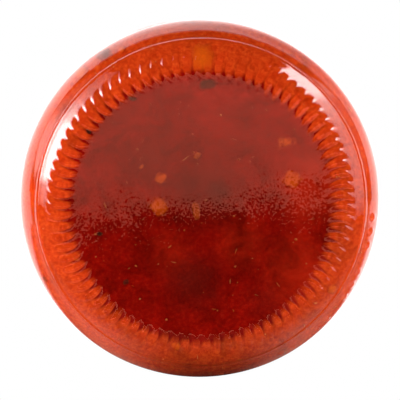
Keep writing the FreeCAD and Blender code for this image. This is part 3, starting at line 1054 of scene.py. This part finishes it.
capLook = {
    "gold": (0.42, 0.265, 0.075),
    "deepGold": (0.37, 0.225, 0.060),
    "cloudPerMm": 0.06,
    "metal": 0.85,
    "coat": (0.6, 0.12),  # weight and roughness of the lacquer
    "rough": (0.20, 0.30),
    "grainPerMm": 3.0,
    "grainBump": (0.004, 0.5),  # depth and strength
}


def makeCapMaterial():
    # clear gold lacquer over tinplate, slightly uneven
    material, tree = newMaterial("goldLacquer")
    look = capLook
    grain = noiseNode(tree, look["grainPerMm"], 3.0)
    cloud = noiseNode(tree, look["cloudPerMm"], 3.0)
    tone = rampNode(tree, cloud, [(0.30, look["deepGold"]), (0.70, look["gold"])])
    smoothest, roughest = look["rough"]
    rough = setIn(addNode(tree, "MapRange"), Value=grain, To_Min=smoothest, To_Max=roughest).outputs[0]
    showSurface(tree, principled(
        tree, Metallic=look["metal"], Coat_Weight=look["coat"][0], Coat_Roughness=look["coat"][1],
        Base_Color=tone, Roughness=rough, Normal=bumpNode(tree, grain, *look["grainBump"])))
    return material


linerLook = {"pale": (0.80, 0.76, 0.66), "deep": (0.704, 0.6536, 0.528), "mottlePerMm": 0.6, "rough": 0.55}


def makeLinerMaterial():
    # soft sealing compound, faintly mottled
    material, tree = newMaterial("linerCompound")
    cloud = noiseNode(tree, linerLook["mottlePerMm"], 4.0)
    tone = rampNode(tree, cloud, [(0.3, linerLook["deep"]), (0.7, linerLook["pale"])])
    showSurface(tree, principled(tree, Base_Color=tone, Roughness=linerLook["rough"]))
    return material


def dress(node, material):
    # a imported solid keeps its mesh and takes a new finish
    for piece in bpy.data.objects:
        if piece.type == "MESH" and (piece.name == node or piece.name.startswith(node + ".")):
            coat(piece, material)


dress("cap", makeCapMaterial())
dress("liner", makeLinerMaterial())
print("cap dressed")


floorSet = {
    "half": 1.5,
    "shade": (0.90, 0.90, 0.89),
    "fade": (60.0, 450.0),  # it turns plain white between these distances, in millimetres
}


def hideFrom(piece, *rays):
    for kind in rays:
        setattr(piece, "visible_" + kind, False)


def makeFloor():
    pickNothing()
    bpy.ops.mesh.primitive_plane_add(size=2 * floorSet["half"])
    floor = bpy.context.object
    floor.name = "floor"
    material, tree = newMaterial("paleFloor")
    matt = setIn(addNode(tree, "BsdfDiffuse"), Color=(*floorSet["shade"], 1)).outputs[0]
    away = between(tree, reachNode(tree)[0], *floorSet["fade"])
    lit = mixShaders(tree, away, matt, glowShader(tree))
    # it isn't there from below
    behind = addNode(tree, "NewGeometry").outputs["Backfacing"]
    showSurface(tree, mixShaders(tree, behind, lit, clearShader(tree)))
    coat(floor, material)
    hideFrom(floor, "glossy", "transmission", "diffuse", "shadow")


def reflectedOnly(piece, scattered):
    # a card that the glass reflects and nothing else shows; scattered light may meet it too
    hideFrom(piece, "camera", "shadow", "transmission", *(() if scattered else ("diffuse",)))


def fadingGlow(tree, solid, **values):
    # the glow shows where solid is 1 and nothing where it is 0
    showSurface(tree, mixShaders(tree, solid, clearShader(tree), glowShader(tree, **values)))


darkRoom = {
    "r": 0.5,
    "top": 0.15,
    "bottom": -1.0,
    "rim": (0.04, 0.13),  # its dark fades out upwards between these heights
    "drop": (-0.10, 0.35, 0.105),  # from and to where along Y the rim drops, and by how much
}


def makeDarkRoom():
    # open tub round the underside
    pickNothing()
    top, bottom = darkRoom["top"], darkRoom["bottom"]
    bpy.ops.mesh.primitive_cylinder_add(
        vertices=64, radius=darkRoom["r"], depth=top - bottom, location=(0, 0, (top + bottom) / 2))
    tub = bpy.context.object
    tub.name = "darkRoom"
    bpy.ops.object.transform_apply(location=True)
    bpy.ops.object.mode_set(mode="EDIT")
    bpy.ops.mesh.select_mode(type="FACE")
    for face in bmesh.from_edit_mesh(tub.data).faces:
        face.select = face.normal.z > 0.5
    bpy.ops.mesh.delete(type="FACE")
    endEdit()
    material, tree = newMaterial("roomDark")
    x, y, z = splitNode(tree, "Object")
    near, far, drop = darkRoom["drop"]
    height = timesPlus(tree, between(tree, y, near, far), drop, z)
    fadingGlow(tree, between(tree, height, *darkRoom["rim"], fall=True), Strength=0.0)
    coat(tub, material)
    reflectedOnly(tub, True)


def makeCard(name, corners, material, scattered):
    pickNothing()
    bpy.ops.mesh.primitive_plane_add(size=1.0)
    card = bpy.context.object
    card.name = name
    for vertex, corner in zip(card.data.vertices, (corners[0], corners[1], corners[3], corners[2])):
        vertex.co = corner
    coat(card, material)
    reflectedOnly(card, scattered)


sheet = {
    "y": 0.045,
    "half": 0.22,
    "length": 0.3665,
    "slant": 1.1,
    "gap": 0.0005,
    "above": 0.056,  # how far it goes on behind the heel
    "topFade": (0.026, 0.056),
    "sideFade": (0.17, 0.22),
    "scatter": 0.45,  # share of its glow that lights matt surfaces
    # painted reflection of the table: bright at the jar, then a dark band for the jar's shadow and reflection
    # in it, then a red-tinted far end
    "glow": [
        (0.0, (1.22, 1.18, 1.12)),
        (0.11, (1.02, 0.92, 0.84)),
        (0.20, (0.55, 0.40, 0.34)),
        (0.29, (0.25, 0.10, 0.08)),
        (0.54, (0.25, 0.08, 0.06)),
        (0.67, (2.6, 0.80, 0.52)),
        (1.0, (1.9, 0.55, 0.34)),
    ],
}


def sheetGlow():
    # from where the sheet starts at the jar to its far end
    material, tree = newMaterial("sheetGlow")
    x, y, z = splitNode(tree, "Object")
    share = mathNode(tree, "DIVIDE", mathNode(tree, "ABSOLUTE", z), sheet["length"])
    colour = rampNode(tree, mathNode(tree, "POWER", share, 0.5), sheet["glow"])
    scattered = addNode(tree, "LightPath").outputs["Is Diffuse Ray"]
    strength = timesPlus(tree, scattered, sheet["scatter"] - 1, 1.0)
    top = between(tree, z, *sheet["topFade"], fall=True)
    sides = between(tree, mathNode(tree, "ABSOLUTE", x), *sheet["sideFade"], fall=True)
    fadingGlow(tree, times(tree, top, sides), Color=colour, Strength=strength)
    return material


def upright(half, y, low, high):
    # corners of a card that stands across the Y axis
    return [(-half, y, low), (half, y, low), (half, y, high), (-half, y, high)]


def makeSheet():
    y, half, low = sheet["y"], sheet["half"], -sheet["gap"]
    lean = half * sheet["slant"]
    corners = [(-half, y, lean - sheet["length"]), (half, y, -lean - sheet["length"]),
               (half, y, low), (-half, y, low)]
    makeCard("sheetBeside", corners, sheetGlow(), True)
    makeCard("sheetBehind", upright(half, y, low, sheet["above"]), sheetGlow(), False)


def shadeGlow(name, core, most):
    # dark in its middle and clear at its edges
    material, tree = newMaterial(name)
    centred = coordinatesNode(tree, "UV", Location=(-1, -1, 0), Scale=(2, 2, 0))
    soft = between(tree, vectorNode(tree, "LENGTH", centred), core, 1.0, fall=True)
    fadingGlow(tree, times(tree, soft, most), Strength=0.0)
    return material


shade = {"half": 0.036, "low": -0.034, "high": 0.037, "core": 0.22, "most": 0.95}


def makeContactShade():
    # a dark card where the jar comes nearest to the sheet: the jar's own dark reflection there, and a
    # stand-in for the contact shadow that also darkens the sauce at the heel
    corners = upright(shade["half"], sheet["y"] - sheet["gap"], shade["low"], shade["high"])
    makeCard("contactShade", corners, shadeGlow("contactDark", shade["core"], shade["most"]), True)


def facingCorners(spot):
    # a card that faces the foot of the jar, so many degrees below the level
    turn, fall = radians(spot["azimuth"]), radians(spot["fall"])
    away = Vector((cos(turn) * cos(fall), sin(turn) * cos(fall), -sin(fall)))
    across = away.cross(Vector((0, 0, 1))).normalized() * spot["width"] / 2
    up = across.cross(away).normalized() * spot["height"] / 2
    return [away * spot["distance"] + across * i + up * j for i, j in ((-1, -1), (1, -1), (1, 1), (-1, 1))]


# a half dark card beside the jar, that gives form to the glass and the cap
flag = {
    "azimuth": -48.0,
    "fall": -32.0,
    "distance": 0.6,
    "width": 0.9,
    "height": 0.8,
    "core": 0.15,
    "most": 0.65,
}

softboxBoth = {"fall": 16.0, "distance": 0.45, "height": 0.52, "strength": 24.0}

softboxes = {
    "left": {
        "azimuth": -157.0,
        "width": 0.46,
        "along": [
            (0.0, 0.03), (0.25, 0.12), (0.42, 0.5), (0.5, 1.0), (0.78, 1.0), (0.86, 0.2), (1.0, 0.06),
        ],
        "upwards": [
            (0.02, 0.0), (0.09, 1.0), (0.29, 1.0), (0.41, 0.32), (0.60, 0.17), (0.95, 0.12), (1.0, 0.0),
        ],
    },
    "right": {
        "azimuth": -20.5,
        "width": 0.50,
        "along": [
            (0.0, 0.02), (0.12, 0.09), (0.5, 0.12), (0.68, 0.25), (0.76, 0.62), (0.96, 0.62), (1.0, 0.0),
        ],
        "upwards": [(0.02, 0.0), (0.09, 1.0), (0.38, 1.0), (0.54, 0.15), (0.95, 0.11), (1.0, 0.0)],
    },
}


def makeSoftbox(side):
    # bright over its lower half and dim above
    box = {**softboxBoth, **softboxes[side]}
    material, tree = newMaterial(side + "Glow")
    across, up, depth = splitNode(tree, "UV")
    colour = multiplied(tree, rampNode(tree, across, box["along"]), rampNode(tree, up, box["upwards"]))
    showSurface(tree, glowShader(tree, Color=colour, Strength=box["strength"]))
    makeCard(side + "Softbox", facingCorners(box), material, False)


lamps = {
    # place, aim, size and power
    "leftBelow": ((-0.43, -0.02, -0.18), (0, 0, 0), (0.3, 0.2), 2.8),
    "rightBelow": ((0.42, -0.09, -0.19), (0, 0, 0), (0.3, 0.2), 2.25),
    "keyAbove": ((-0.7, -0.8, 0.9), (0, 0, 0.08), (0.5, 0.7), 11.0),
    "fillAbove": ((0.9, -0.4, 0.6), (0, 0, 0.08), (0.5, 0.7), 5.0),
}


def addLamp(name, place, aim, size, power):
    data = bpy.data.lights.new(name, "AREA")
    data.shape = "RECTANGLE"
    data.size, data.size_y = size
    data.energy = power
    lamp = addObject(name, data)
    lamp.location = place
    lamp.rotation_euler = (Vector(aim) - Vector(place)).to_track_quat("-Z", "Y").to_euler()
    lamp.visible_glossy = False
    lamp.visible_transmission = place[2] > 0  # the low ones don't show through the glass


surroundings = {
    "matt": 0.57,  # what they give to matt surfaces
    "reflected": 2.15,  # how bright they are in reflections
}


def makeWorld():
    world = bpy.data.worlds.new("surroundings")
    bpy.context.scene.world = world
    world.use_nodes = True
    tree = world.node_tree
    tree.nodes.clear()
    path = addNode(tree, "LightPath").outputs
    seen = mathNode(tree, "MAXIMUM", path["Is Camera Ray"], path["Is Glossy Ray"])
    seen = mathNode(tree, "MAXIMUM", seen, path["Is Transmission Ray"])
    reflected = timesPlus(tree, path["Is Glossy Ray"], surroundings["reflected"] - 1, 1.0)
    soft, plain = (setIn(addNode(tree, "Background"), Color=(1, 1, 1, 1), Strength=strength).outputs[0]
                   for strength in (surroundings["matt"], reflected))
    setIn(addNode(tree, "OutputWorld"), Surface=mixShaders(tree, seen, soft, plain))


camera = {"place": (-12.3, -42.5, -340.0), "aim": (-0.48, -1.42, 0.0), "lens": 131.35}


def makeCamera():
    data = bpy.data.cameras.new("camera")
    data.lens = camera["lens"]
    data.sensor_width = 36.0
    data.clip_start = 0.01
    view = addObject("camera", data)
    place = Vector(camera["place"]) * mm
    back = (place - Vector(camera["aim"]) * mm).normalized()
    # the base is seen from below, with -Y upwards
    right = Vector((0, -1, 0)).cross(back).normalized()
    up = back.cross(right)
    turned = Matrix((right, up, back)).transposed().to_4x4()
    turned.translation = place
    view.matrix_world = turned
    bpy.context.scene.camera = view


makeFloor()
makeDarkRoom()
makeSheet()
makeContactShade()
makeCard("dimFlag", facingCorners(flag), shadeGlow("flagDark", flag["core"], flag["most"]), False)
for side in softboxes:
    makeSoftbox(side)
for name, values in lamps.items():
    addLamp(name, *values)
makeWorld()
makeCamera()
bpy.context.scene.view_settings.view_transform = "Standard"
print("stage set")
